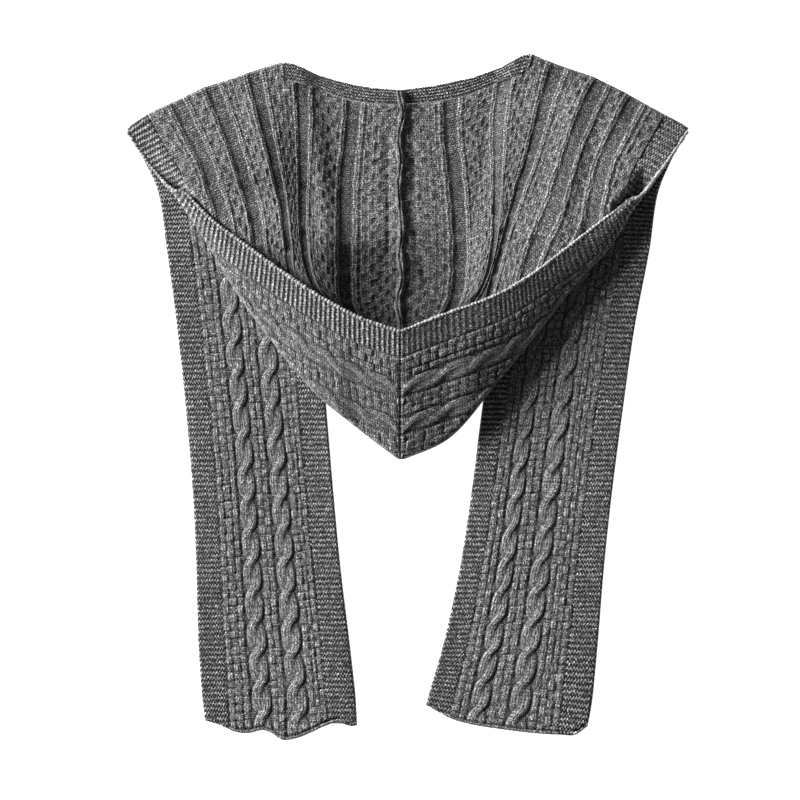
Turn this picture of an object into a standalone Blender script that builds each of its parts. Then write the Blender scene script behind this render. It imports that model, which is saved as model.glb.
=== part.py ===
"""Hooded scarf in cable knit, laid flat on its back.

Each half is a tail and a hood panel knitted in one. The tails lie right side up. At the slanted
shoulder line the cloth turns over into the back of the hood, which shows its wrong side, and at the
foot of the pouch it turns again into the front of the hood, which shows its right side up to the rim.

X runs across, Y from the hems to the neck and Z up from the surface. Sizes are in millimetres.
"""

import math

import bpy
import numpy as np

MM = 0.001

# ---- sizes of the cloth ----
HOOD_WALL = 3.4
TAIL_WALL = 4.0
GAP = 0.3
PANEL = 310.0  # hood panel along a row, from the rim to the back seam
HEIGHT = 365.0  # hood panel along the rim, from the shoulder to the top seam
CORNER = 178.0  # where the shoulder line ends and the free neck edge begins, along the first row
BAND = 27.0  # garter band along the rim
NECK_BAND = 15.0
RIB_PITCH = 5.6
RIB_RISE = 1.1
SEAM_X = -7.5
SEAM_HALF = 0.2  # half of the gap at the centre seam
LADDER_RISE = 0.9  # ladders beside the backs of the cables
LADDER_HALF = 3.0
TOP_EASE = 42.0  # how far the first row's outline is carried into the panel
CORNER_EASE = 5.0  # over this width past the corner the panel gives way to the neck band
EDGE_ROUND = 3.0
UNDER_INSET = 1.0  # how far a tail's flat underside is set in from its edge
TWIST_EASE = 0.8  # more room beside the rim band where it turns over
TWIST_ROWS = (85.0, 165.0)
TWIST_FADE = 20.0
LAID_ROW = 140.0  # from here up the rim band lies right side up
LAID_FADE = 30.0
FRONT_TURN = 150.0  # the fold has a front once it has turned this far, in degrees
FRONT_BOW = 2.0  # how much the front bulges between the fold and the rim

# ---- cables ----
CABLE_WIDTH = 21.5
CABLE_RISE = 2.6
CROSSING = 32.7  # from one crossing to the next
STRAND_SWAY = 4.6
STRAND_HALF = 6.2
STRAND_OVER = 0.8
CABLE_EASE = 2.5  # over this width a cable comes down to the cloth
PATTERN_EASE = 12.0  # over this length the tail's pattern fades under the pouch
HOOD_CABLES = (60.0, 100.0, 147.0, 200.0, 260.0)  # from the rim, along a row
CABLE_LEAST = (0.12, 0.36, 0.68)  # least shares of the back for the last three of them
FIRST_CROSSING = 8.0  # above the hem

# How far the hood's back keeps its height past the tail's edge, and over what width it comes down.
BRIDGE = 14.0
COME_DOWN = 24.0

HOOD_COLUMNS = (
    "row", "rim_x", "rim_y", "rim_z", "fold_x", "fold_y", "turn", "radius",
    "third_x", "third_y", "fourth_x", "fourth_y", "fifth_x", "fifth_y", "seam_y",
)
# A row for each section across a hood half: its place up the panel, the rim, the pouch's fold, how far
# the fold has turned in degrees and its radius, the places of the third, fourth and fifth cables on the
# back of the hood, and the centre seam.
HOOD_SECTIONS = {
    "left": (
        (0, -295.5, 281, 6, -295.5, 281, 0, 6.0, -162, 341, -112, 345, -55, 327, 322),
        (50, -268, 240, 8, -268, 240, 30, 6.0, -149, 287, -109, 290, -59, 271, 271),
        (97, -231, 209, 19, -236, 202, 180, 6.0, -138, 240, -109, 242, -64, 224, 227),
        (135, -205, 184, 24, -209, 161, 180, 6.5, -131, 206, -110, 207, -65, 188, 196),
        (177, -171, 159, 29, -178, 110, 180, 7.0, -125, 165, -109, 166, -66, 148, 158),
        (222, -134, 132, 34, -142, 60, 180, 7.5, -118, 120, -100, 122, -65, 102, 118),
        (275, -90, 103, 39, -94, 3, 180, 7.5, -78, 47, -66, 75, -50, 72, 70),
        (319, -51, 82, 42, -51, -33, 180, 7.5, -42, -10, -34, 14, -26, 24, 30),
        (365, -7.5, 67, 44, -7.5, -66, 180, 7.0, -7.5, -50, -7.5, -37, -7.5, -22, -9),
    ),
    "right": (
        (0, 295.5, 282, 6, 295.5, 282, 0, 6.0, 156, 350, 104, 349, 45, 330, 322),
        (50, 265, 237, 8, 265, 237, 30, 6.0, 141, 293, 96, 292, 46, 272, 271),
        (97, 229, 202, 18, 234, 194, 180, 6.0, 129, 251, 95, 248, 51, 229, 227),
        (135, 204, 183, 23, 211, 157, 180, 6.5, 118, 219, 94, 214, 54, 196, 196),
        (177, 166, 154, 29, 174, 117, 180, 7.0, 104, 173, 92, 166, 56, 150, 158),
        (222, 130, 127, 34, 136, 68, 180, 7.5, 92, 130, 82, 122, 53, 108, 118),
        (275, 88, 103, 39, 94, 17, 180, 7.5, 72, 60, 54, 73, 34, 70, 70),
        (319, 39, 85, 42, 46, -40, 180, 7.5, 36, -14, 24, 10, 12, 22, 30),
        (365, -7.5, 67, 44, -7.5, -66, 180, 7.0, -7.5, -50, -7.5, -37, -7.5, -22, -9),
    ),
}

# The hood panel's first row: the shoulder line, the corner and the free neck edge, as the distance
# across the panel and the place.
TOP_EDGE = {
    "left": (
        (0, -295.5, 281), (32, -268, 299), (67, -237, 313), (91, -215, 324), (125, -183, 334),
        (148, -161, 342), (165, -144, 347), (178, -131, 351), (190, -119, 349), (202, -110, 345),
        (219, -95, 338), (240, -75, 332), (260, -55, 327), (281, -35, 324), (310, -7.5, 322),
    ),
    "right": (
        (0, 295.5, 282), (26, 271, 295), (50, 249, 307), (74, 228, 319), (109, 196, 335),
        (142, 164, 346), (163, 142, 354), (178, 130, 359.6), (187, 120, 358), (209, 99, 346),
        (240, 68, 335), (262, 45, 330), (281, 25, 326), (310, -7.5, 322),
    ),
}

# A row for each section across a tail, from the hem up to the shoulder line: its outer edge and its
# inner edge.
TAIL_SECTIONS = {
    "left": (
        (-215, -331, -52, -335), (-220, -256, -61, -256), (-222, -182, -70, -182),
        (-226, -98, -78, -98), (-233, -14, -85, -14), (-242, 70, -92, 72), (-253, 154, -100, 158),
        (-263, 217, -110, 236), (-278, 250, -120, 290), (-295, 281, -132, 350),
    ),
    "right": (
        (192, -342, 20, -319), (200, -256, 38, -256), (206, -182, 54, -182), (215, -98, 67, -98),
        (226, -14, 78, -14), (238, 70, 89, 72), (254, 154, 100, 159), (264, 217, 113, 242),
        (277, 248, 122, 299), (295, 282, 130, 359),
    ),
}
# The hem's waves: across the tail from its outer edge, from 0 to 1, and the hem's place.
HEMS = {
    "left": (
        (0, -213, -340), (0.1, -197, -345), (0.2, -181, -352), (0.3, -165, -353), (0.37, -153, -350),
        (0.45, -142, -354), (0.51, -133, -360), (0.6, -118, -359), (0.69, -102, -353),
        (0.79, -87, -346), (0.89, -71, -342), (0.95, -60, -346), (1, -53, -345),
    ),
    "right": (
        (0, 189, -346), (0.08, 176, -355), (0.17, 160, -355), (0.35, 129, -353), (0.53, 97, -349),
        (0.71, 66, -344), (0.84, 45, -338), (0.93, 30, -330), (1, 19, -324),
    ),
}
HEM_EASE = 30.0  # over this length the hem's waves fade

# Widths across a tail, from its outer edge: band, basket, cable, basket, cable, basket, band.
TAIL_PATTERN = {
    "left": (27.0, 22.0, 21.5, 13.5, 22.5, 18.5, 29.0),
    "right": (28.0, 27.0, 21.5, 16.0, 19.0, 14.5, 24.0),
}

# ---- the welt at the centre seam ----
WELT_WIDTH = 8.0
WELT_HEIGHT = 4.2
WELT_STEP = 14.0
WELT_SWAY = 1.4
WELT_SWELL = 0.12
WELT_FOOT = 0.2
WELT_TOP = 1.0  # from the neck edge to the welt's upper end
WELT_END = 14.0  # from the foot of the seam to the welt's lower end
WELT_CLEAR = 6.0  # past the neck band the welt still lies on its ridges this far

# ---- how finely the solids are cut ----
TAIL_STEP = 8.2
TAIL_SHOWN = 460.0  # above the hem: past this the hood hides the cables
HIDDEN_ROWS = 9
HOOD_ROWS = 46
FOLD_STEPS = 8
BACK_STEPS = 28
FRONT_STEPS = 10
CABLE_LINES = (-0.5, -0.33, 0.0, 0.33, 0.5)  # lines along a cable, as shares of its width
CABLE_BACK_LINES = (-0.5, 0.0, 0.5)
WELT_SIDES = 6
PANEL_LINES = (40.0, 123.0, CORNER, CORNER + CORNER_EASE, 229.0, 287.0)
RIM_LINES_TURNED = (0.0, 9.0, 18.0)
RIM_LINES_LAID = (0.0, 1.6, 25.0)
RIM_LINE_RISE = (0.4, 1.0, 1.0, 0.0)
NECK_LINES = 7
SLOPE_ACROSS = 1.5  # steps over which the cloth's slope is read
SLOPE_ALONG = 2.5
LOOKS_UP = 3.0  # relief grows to full height as a face's normal rises to a third

YARN_GREY = (0.085, 0.085, 0.088, 1.0)


def smooth(x):
    """0 below 0, 1 above 1 and an even rise between."""
    x = np.clip(x, 0.0, 1.0)
    return x * x * (3.0 - 2.0 * x)


def unit(v):
    return v / max(float(np.linalg.norm(v)), 1e-9)


def spline(knots, values, at):
    """A smooth curve through values at knots, read at each of at."""
    knots = np.asarray(knots, float)
    values = np.asarray(values, float)
    at = np.atleast_1d(np.asarray(at, float))
    if values.ndim == 1:
        values = values[:, None]
    step = np.diff(knots)
    slope = np.diff(values, axis=0) / step[:, None]
    tangent = np.empty_like(values)
    tangent[0] = slope[0]
    tangent[-1] = slope[-1]
    before = step[:-1, None]
    after = step[1:, None]
    tangent[1:-1] = (slope[:-1] * after + slope[1:] * before) / (before + after)
    i = np.clip(np.searchsorted(knots, at) - 1, 0, len(step) - 1)
    h = step[i][:, None]
    t = np.clip((at[:, None] - knots[i][:, None]) / h, 0.0, 1.0)
    return (
        values[i] * (1 + 2 * t) * (1 - t) ** 2
        + tangent[i] * h * t * (1 - t) ** 2
        + values[i + 1] * t * t * (3 - 2 * t)
        - tangent[i + 1] * h * t * t * (1 - t)
    )


# ---- the tails ----


def tail_stations(side):
    """The tail's sections with their distance from the hem along its middle."""
    table = np.array(TAIL_SECTIONS[side], float)
    middle = (table[:, :2] + table[:, 2:]) / 2
    along = np.concatenate([[0.0], np.cumsum(np.linalg.norm(np.diff(middle, axis=0), axis=1))])
    return along, table


def tail_length(side):
    return float(tail_stations(side)[0][-1])


def tail_place(side, share, up):
    """Plan places for shares across the tail, from outer to inner edge, on the rows at up."""
    along, table = tail_stations(side)
    ends = spline(along, table, up)
    share = np.asarray(share, float)[None, :, None]
    place = ends[:, None, :2] * (1 - share) + ends[:, None, 2:] * share
    hem = np.array(HEMS[side], float)
    first = spline(along, table, [0.0])[0]
    shares = share[0, :, 0]
    level = first[None, :2] * (1 - shares[:, None]) + first[None, 2:] * shares[:, None]
    shift = np.stack([np.interp(shares, hem[:, 0], hem[:, k]) for k in (1, 2)], axis=1) - level
    ease = np.clip(1 - np.asarray(up, float) / HEM_EASE, 0.0, 1.0) ** 2
    return place + shift[None] * ease[:, None, None]


def inner_edge(side, y):
    table = np.array(TAIL_SECTIONS[side], float)
    return np.interp(y, table[:, 3], table[:, 2])


def rest_height(x, y):
    """How high the hood's back lies: on the tails, and on the surface between them."""
    left = smooth((inner_edge("left", y) + BRIDGE + COME_DOWN - x) / COME_DOWN)
    right = smooth((x - inner_edge("right", y) + BRIDGE + COME_DOWN) / COME_DOWN)
    return (TAIL_WALL + GAP) * np.maximum(left, right)


def pouch_foot(x):
    """The pouch's fold line, as a height Y over x."""
    points = [(s[4], s[5]) for s in HOOD_SECTIONS["left"]]
    points += [(s[4], s[5]) for s in reversed(HOOD_SECTIONS["right"][:-1])]
    points = np.array(points, float)
    return np.interp(x, points[:, 0], points[:, 1])


def cable(across, up):
    """Height of a two-strand cable: across from its middle, up along it. At each crossing the strand
    that comes from the lower left lies on top."""
    phase = math.pi * (np.asarray(up, float) - FIRST_CROSSING) / CROSSING
    height = 0.0
    for sign in (1.0, -1.0):
        place = STRAND_SWAY * sign * np.sin(phase)
        over = STRAND_OVER * sign * np.cos(phase)
        crown = 1 - ((across - place) / STRAND_HALF) ** 2
        height = np.maximum(height, (CABLE_RISE + over) * np.sqrt(np.clip(crown, 0.0, 1.0)))
    return height * smooth((CABLE_WIDTH / 2 - np.abs(across)) / CABLE_EASE)


def tail_cables(side):
    """The middles of a tail's two cables, from its outer edge."""
    widths = TAIL_PATTERN[side]
    first = sum(widths[:2]) + widths[2] / 2
    second = sum(widths[:4]) + widths[4] / 2
    return first, second


def tail_columns(side):
    """Lines across a tail, from its outer edge: the edges, the bands and five on each cable."""
    width = sum(TAIL_PATTERN[side])
    lines = [0.0, EDGE_ROUND, TAIL_PATTERN[side][0], width - TAIL_PATTERN[side][6]]
    lines += [width - EDGE_ROUND, width]
    for middle in tail_cables(side):
        lines += [middle + share * CABLE_WIDTH for share in CABLE_LINES]
    return np.array(sorted(lines))


def make_tail(side):
    columns = tail_columns(side)
    width = columns[-1]
    length = tail_length(side)
    shown = np.arange(TAIL_STEP, TAIL_SHOWN, TAIL_STEP)
    hidden = np.linspace(TAIL_SHOWN, length - EDGE_ROUND, HIDDEN_ROWS)
    up = np.concatenate([[0.0, EDGE_ROUND], shown, hidden, [length]])
    plan = tail_place(side, columns / width, up)
    height = np.full(plan.shape[:2], TAIL_WALL)
    mirror = 1.0 if side == "left" else -1.0
    for middle in tail_cables(side):
        height += cable(mirror * (columns[None, :] - middle), up[:, None])
    showing = smooth((pouch_foot(plan[..., 0]) - plan[..., 1]) / PATTERN_EASE)
    height = TAIL_WALL + (height - TAIL_WALL) * showing
    height[:, 0] = height[:, -1] = TAIL_WALL * 0.5
    height[0] = height[-1] = TAIL_WALL * 0.5
    top = np.dstack([plan, height])
    return closed_tail(f"tail_{side}", top, side)


def closed_tail(name, top, side):
    """A wall with this top over a flat underside, whose rim is set in a little."""
    rows, columns = top.shape[:2]
    points = [tuple(p) for p in top.reshape(-1, 3)]
    faces = [
        (i * columns + j, i * columns + j + 1, (i + 1) * columns + j + 1, (i + 1) * columns + j)
        for i in range(rows - 1)
        for j in range(columns - 1)
    ]
    loop = [(0, j) for j in range(columns)]
    loop += [(i, columns - 1) for i in range(1, rows)]
    loop += [(rows - 1, j) for j in range(columns - 2, -1, -1)]
    loop += [(i, 0) for i in range(rows - 2, 0, -1)]
    under = {}
    centre = top[:, :, :2].mean(axis=1)
    for i, j in loop:
        inward = unit(centre[i] - top[i, j, :2])
        under[i, j] = len(points)
        points.append((*(top[i, j, :2] + inward * UNDER_INSET), 0.0))
    for a, b in zip(loop, loop[1:] + loop[:1]):
        faces.append((b[0] * columns + b[1], a[0] * columns + a[1], under[a], under[b]))
    last = columns - 1
    faces.append([under[1, 0], under[1, last]] + [under[0, j] for j in range(last, -1, -1)])
    for i in range(1, rows - 2):
        faces.append((under[i + 1, 0], under[i + 1, last], under[i, last], under[i, 0]))
    end = rows - 1
    faces.append([under[end, j] for j in range(columns)] + [under[end - 1, last], under[end - 1, 0]])
    return make_object(name, points, faces, side == "right")


# ---- the hood ----


def hood_section(side, row):
    table = np.array(HOOD_SECTIONS[side], float)
    values = spline(table[:, 0], table[:, 1:], [row])[0]
    return dict(zip(HOOD_COLUMNS[1:], values))


def hood_row(side, row):
    """A row of the hood half as (distance from the rim, place) along the middle of its wall."""
    s = hood_section(side, row)
    fold = np.array([s["fold_x"], s["fold_y"]])
    rim = np.array([s["rim_x"], s["rim_y"]])
    third = np.array([s["third_x"], s["third_y"]])
    turn = math.radians(min(max(s["turn"], 0.0), 180.0))
    radius = s["radius"]
    inward = unit(third - fold)
    towards_rim = unit(rim - fold + 1e-6 * inward)
    start = fold + inward * radius * math.sin(min(turn, math.pi / 2))
    base = float(rest_height(start[0], start[1])) + HOOD_WALL / 2
    outermost = start - inward * radius
    curl = []
    for k in range(FOLD_STEPS + 1):
        angle = turn * (1 - k / FOLD_STEPS) - math.pi / 2
        back = radius * (1 - math.cos(angle))
        place = outermost + (towards_rim if angle > 0 else inward) * back
        curl.append((*place, base + radius * (1 + math.sin(angle))))
    curl = np.array(curl)
    reach = float(smooth((math.degrees(turn) - FRONT_TURN) / (180.0 - FRONT_TURN)))
    rim_point = curl[0] + (np.array([*rim, s["rim_z"]]) - curl[0]) * reach
    t = np.linspace(0.0, 1.0, FRONT_STEPS + 1)[:-1, None]
    front = rim_point + (curl[0] - rim_point) * t
    front[:, 2] += FRONT_BOW * reach * np.sin(math.pi * t[:, 0])
    ahead = np.concatenate([front, curl]) if reach > 0 else curl
    steps = np.linalg.norm(np.diff(ahead, axis=0), axis=1)
    distance = np.concatenate([[0.0], np.cumsum(steps)])
    turned = distance[-1]
    left_over = PANEL - turned
    knots = [0.0]
    for place, least in zip(HOOD_CABLES[2:], CABLE_LEAST):
        knots.append(max((place - turned) / left_over, least))
    knots.append(1.0)
    plan = np.array(
        [
            start,
            third,
            (s["fourth_x"], s["fourth_y"]),
            (s["fifth_x"], s["fifth_y"]),
            (SEAM_X, s["seam_y"]),
        ]
    )
    share = np.linspace(0.0, 1.0, BACK_STEPS + 1)[1:]
    back = spline(knots, plan, share)
    z = rest_height(back[:, 0], back[:, 1]) + HOOD_WALL / 2
    places = np.concatenate([ahead, np.column_stack([back, z])])
    return np.concatenate([distance, turned + share * left_over]), places


def top_shift(side, across):
    """How far the first row lies from the sections' own first row."""
    edge = np.array(TOP_EDGE[side], float)
    distance, places = hood_row(side, 0.0)
    own = np.stack([np.interp(across, distance, places[:, k]) for k in (0, 1)], axis=-1)
    drawn = np.stack([np.interp(across, edge[:, 0], edge[:, k]) for k in (1, 2)], axis=-1)
    return drawn - own


def hood_places(side, across, row):
    """Places on the middle of the wall at distances across, on one row."""
    row = min(max(row, 0.0), HEIGHT)
    distance, places = hood_row(side, row)
    result = np.stack([np.interp(across, distance, places[:, k]) for k in range(3)], axis=-1)
    ease = max(0.0, 1 - row / TOP_EASE) ** 2
    if ease > 0:
        result[:, :2] += top_shift(side, across) * ease
        result[:, 2] = np.maximum(result[:, 2], rest_height(result[:, 0], result[:, 1]) + HOOD_WALL / 2)
    return result


def hood_surface(side, across, rows):
    """Places and right-side normals on a grid. across and rows are 2-D arrays, a row a line."""
    shape = across.shape
    places = np.empty((*shape, 3))
    normals = np.empty((*shape, 3))
    handed = 1.0 if side == "left" else -1.0
    for i in range(shape[0]):
        for row in np.unique(rows[i]):
            at = rows[i] == row
            where = across[i][at]
            places[i][at] = hood_places(side, where, row)
            ahead = hood_places(side, np.minimum(where + SLOPE_ACROSS, PANEL), row)
            behind = hood_places(side, np.maximum(where - SLOPE_ACROSS, 0.0), row)
            above = hood_places(side, where, row + SLOPE_ALONG)
            below = hood_places(side, where, row - SLOPE_ALONG)
            normal = handed * np.cross(ahead - behind, below - above)
            length = np.linalg.norm(normal, axis=1, keepdims=True)
            normals[i][at] = -normal / np.maximum(length, 1e-9)
    return places, normals


def keep_to_side(side, points):
    """Nothing of a half crosses the centre seam's plane."""
    if side == "left":
        points[..., 0] = np.minimum(points[..., 0], SEAM_X - SEAM_HALF)
    else:
        points[..., 0] = np.maximum(points[..., 0], SEAM_X + SEAM_HALF)
    points[..., 2] = np.maximum(points[..., 2], 0.0)
    return points


def hood_wall(side, across, rows, outer_rise, inner_rise):
    """The wall's two faces over a grid: the right side, and the wrong side."""
    places, normals = hood_surface(side, across, rows)
    outer = places + normals * (HOOD_WALL / 2 + outer_rise)[..., None]
    inner = places - normals * (HOOD_WALL / 2 + inner_rise)[..., None]
    return keep_to_side(side, outer), keep_to_side(side, inner)


def closed_wall(name, outer, inner, side):
    """A solid between two grids of the same size."""
    rows, columns = outer.shape[:2]
    count = rows * columns
    points = [tuple(p) for p in outer.reshape(-1, 3)] + [tuple(p) for p in inner.reshape(-1, 3)]
    faces = []
    for i in range(rows - 1):
        for j in range(columns - 1):
            a = i * columns + j
            quad = (a, a + 1, a + columns + 1, a + columns)
            faces.append(quad)
            faces.append(tuple(count + k for k in reversed(quad)))
    loop = [j for j in range(columns)]
    loop += [i * columns + columns - 1 for i in range(1, rows)]
    loop += [(rows - 1) * columns + j for j in range(columns - 2, -1, -1)]
    loop += [i * columns for i in range(rows - 2, 0, -1)]
    for a, b in zip(loop, loop[1:] + loop[:1]):
        faces.append((b, a, count + a, count + b))
    return make_object(name, points, faces, side == "right")


def first_row(across):
    """Where the panel starts: at the shoulder line, and under the band along the neck edge."""
    return (NECK_BAND + GAP) * np.clip((across - CORNER) / CORNER_EASE, 0.0, 1.0)


def hood_columns():
    lines = [BAND + GAP / 2, *PANEL_LINES, PANEL]
    for k, middle in enumerate(HOOD_CABLES):
        shares = CABLE_LINES if k < 2 else CABLE_BACK_LINES
        lines += [middle + CABLE_WIDTH * share for share in shares]
    return np.array(sorted(lines))


def ladders(across):
    """Raised lines on the wrong side, along both edges of each cable's back."""
    height = 0.0
    for middle in HOOD_CABLES:
        beside = np.abs(np.abs(across - middle) - CABLE_WIDTH / 2)
        height = np.maximum(height, 1 - beside / LADDER_HALF)
    return LADDER_RISE * np.clip(height, 0.0, 1.0)


def make_hood(side):
    columns = hood_columns()
    steps = np.linspace(0.0, 1.0, HOOD_ROWS)[:, None]
    across = np.repeat(columns[None, :], HOOD_ROWS, axis=0)
    start = first_row(across)
    rows = start + (HEIGHT - start) * steps
    outer_rise = np.zeros_like(across)
    for middle in HOOD_CABLES[:2]:
        outer_rise += cable(across - middle, rows)
    _, normals = hood_surface(side, across, rows)
    outer_rise *= smooth(normals[..., 2] * LOOKS_UP)
    inner_rise = ladders(across) * smooth(-normals[..., 2] * LOOKS_UP)
    outer, inner = hood_wall(side, across, rows, outer_rise, inner_rise)
    return closed_wall(f"hood_{side}", outer, inner, side), rows[:, 0]


def make_rim_band(side, panel_rows):
    """The garter band along the rim: its ridges run across it."""
    ribs = round(HEIGHT / RIB_PITCH)
    rows = np.linspace(0.0, HEIGHT, 2 * ribs + 1)
    ridge = np.arange(len(rows)) % 2
    # Lines across the band: evenly spread where it turns over, and near its edges along the front.
    turned = np.array([*RIM_LINES_TURNED, BAND - GAP / 2])
    laid = np.array([*RIM_LINES_LAID, BAND - GAP / 2])
    share = smooth((rows - LAID_ROW) / LAID_FADE)[:, None]
    across = turned * (1 - share) + laid * share
    row_grid = np.repeat(rows[:, None], len(turned), axis=1)
    rise = RIB_RISE * ridge[:, None] * np.array(RIM_LINE_RISE)[None, :]
    _, normals = hood_surface(side, across, row_grid)
    outer_rise = rise * smooth(normals[..., 2] * LOOKS_UP)
    inner_rise = rise * smooth(-normals[..., 2] * LOOKS_UP)
    outer, inner = hood_wall(side, across, row_grid, outer_rise, inner_rise)
    # The edge beside the panel follows the panel's own straight steps.
    twist = smooth((panel_rows - TWIST_ROWS[0]) / TWIST_FADE)
    twist *= smooth((TWIST_ROWS[1] - panel_rows) / TWIST_FADE)
    edge = (BAND - GAP / 2 - TWIST_EASE * twist)[:, None]
    level = np.zeros_like(edge)
    beside = hood_wall(side, edge, panel_rows[:, None], level, level)
    for face, side_edge in zip((outer, inner), beside):
        for k in range(3):
            face[:, -1, k] = np.interp(rows, panel_rows, side_edge[:, 0, k])
    return closed_wall(f"rim_band_{side}", outer, inner, side)


def make_neck_band(side):
    """The garter border on the free neck edge: its ridges run along it."""
    lines = np.array([c for c in hood_columns() if c >= CORNER + CORNER_EASE])
    rows = np.linspace(0.0, NECK_BAND, NECK_LINES)
    across = np.repeat(lines[None, :], len(rows), axis=0)
    row_grid = np.repeat(rows[:, None], len(lines), axis=1)
    rise = RIB_RISE * (np.arange(len(rows)) % 2)[:, None] * np.ones_like(across)
    outer, inner = hood_wall(side, across, row_grid, np.zeros_like(rise), rise)
    return closed_wall(f"neck_band_{side}", outer, inner, side)


def make_welt():
    """The sewn edges of the centre seam, standing up inside the hood as a puckered rope."""
    start = HOOD_SECTIONS["left"][0][-1] - WELT_TOP
    end = HOOD_SECTIONS["left"][-1][-1] + WELT_END
    count = round((start - end) / WELT_STEP)
    rings = []
    for i in range(count + 1):
        y = start + (end - start) * i / count
        sway = WELT_SWAY * (1 if i % 2 else -1)
        swell = 1.0 + WELT_SWELL * (1 if i % 3 else -1)
        base = float(rest_height(SEAM_X, y)) + HOOD_WALL + GAP
        if y > start - NECK_BAND - WELT_CLEAR:
            base += RIB_RISE
        ring = []
        for k in range(WELT_SIDES + 1):
            angle = math.pi * k / WELT_SIDES
            x = SEAM_X + sway + swell * WELT_WIDTH / 2 * math.cos(angle)
            ring.append((x, y, base + WELT_FOOT + swell * WELT_HEIGHT * math.sin(angle)))
        rings.append(ring)
    points = [p for ring in rings for p in ring]
    n = WELT_SIDES + 1
    faces = []
    for i in range(count):
        for k in range(n):
            a = i * n + k
            b = i * n + (k + 1) % n
            faces.append((a, b, b + n, a + n))
    faces.append(list(range(n - 1, -1, -1)))
    faces.append([count * n + k for k in range(n)])
    return make_object("seam_welt", points, faces, False)


# ---- objects ----


def yarn(name, roughness):
    material = bpy.data.materials.new(name)
    material.use_nodes = True
    shader = material.node_tree.nodes["Principled BSDF"]
    shader.inputs["Base Color"].default_value = YARN_GREY
    shader.inputs["Roughness"].default_value = roughness
    shader.inputs["Metallic"].default_value = 0.0
    return material


def make_object(name, points, faces, flip):
    mesh = bpy.data.meshes.new(name)
    faces = [tuple(reversed(f)) if flip else tuple(f) for f in faces]
    mesh.from_pydata([tuple(c * MM for c in p) for p in points], [], faces)
    mesh.update()
    mesh.shade_smooth()
    mesh.materials.append(yarn(f"{name}_yarn", 0.95))
    made = bpy.data.objects.new(name, mesh)
    bpy.context.scene.collection.objects.link(made)
    return made


def main():
    for old in list(bpy.data.objects):
        bpy.data.objects.remove(old, do_unlink=True)
    for side in ("left", "right"):
        make_tail(side)
        _, panel_rows = make_hood(side)
        make_rim_band(side, panel_rows)
        make_neck_band(side)
    make_welt()


main()
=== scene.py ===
"""Hooded scarf in grey marl cable knit, laid flat and seen from straight above.

Every panel is a thin closed shell on its solid's form, worked out from the same named sizes: X
across, Y from the hems to the neck, Z up. Cloth sizes are in millimetres. Places on the cloth are
given as "across" (from a tail's outer edge, or from the hood's rim) and "up" (from a tail's hem, or
along the hood from the shoulder to the centre seam).
"""

import math
from functools import partialmethod

import bpy
import numpy as np
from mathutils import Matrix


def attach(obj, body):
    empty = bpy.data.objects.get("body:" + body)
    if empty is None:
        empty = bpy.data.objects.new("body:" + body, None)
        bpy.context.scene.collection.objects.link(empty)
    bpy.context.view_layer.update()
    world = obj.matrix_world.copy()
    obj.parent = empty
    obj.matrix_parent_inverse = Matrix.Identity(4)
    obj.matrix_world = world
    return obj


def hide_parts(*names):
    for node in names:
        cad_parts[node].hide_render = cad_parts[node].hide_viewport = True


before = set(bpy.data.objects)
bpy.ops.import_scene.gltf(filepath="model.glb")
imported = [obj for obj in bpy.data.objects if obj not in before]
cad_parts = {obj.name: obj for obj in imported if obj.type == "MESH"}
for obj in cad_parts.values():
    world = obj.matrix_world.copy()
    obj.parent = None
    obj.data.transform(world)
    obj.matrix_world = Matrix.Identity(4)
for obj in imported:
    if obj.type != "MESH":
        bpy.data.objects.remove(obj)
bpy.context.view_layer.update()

MM = 0.001

# ---- the cloth, as in the solids ----
HOOD_WALL = 3.4
TAIL_WALL = 4.0
GAP = 0.3
PANEL = 310.0
HEIGHT = 365.0
CORNER = 178.0
CORNER_EASE = 5.0
RIM_BAND = 27.0
NECK_BAND = 15.0
RIB_PITCH = 5.6
SEAM_X = -7.5
SEAM_HALF = 0.2
TOP_EASE = 42.0
UNDER_INSET = 1.0
FRONT_TURN = 150.0
FRONT_BOW = 2.0
BRIDGE = 14.0
COME_DOWN = 24.0
CABLE_WIDTH = 21.5
CROSSING = 32.7
FIRST_CROSSING = -1.5
HOOD_CABLES = (60.0, 100.0, 147.0, 200.0, 260.0)
CABLE_LEAST = (0.12, 0.36, 0.68)

# ---- the relief ----
CABLE_RISE = 1.05
STRAND_SWAY = 4.2
STRAND_HALF = 5.4
STRAND_OVER = 0.65
STRAND_SQUARE = 1.7  # how squarely the strands swap sides
ROPE_LEAST = 0.5  # a cable's strands stand higher than this
GROOVE = 0.55  # beside a cable's strands
GROOVE_HALF = 0.8
BLOCK_TALL = 8.6
BLOCK_RISE = 1.0
BLOCK_LEAST = 0.7  # the purl blocks puff up less
BASKET_COLUMN = 6.6  # about how wide a column of the basket stitch is
GARTER_PITCH = 5.4
GARTER_RISE = 0.8
NECK_PITCH = 2.85
LADDER_RISE = 0.6
LADDER_LINES = (8.4, 11.9)  # two light lines beside the back of each cable, from its middle
CHANNEL = 1.0  # how deep a cable's back lies between its ladders
CHANNEL_HALF = 7.4
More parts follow.
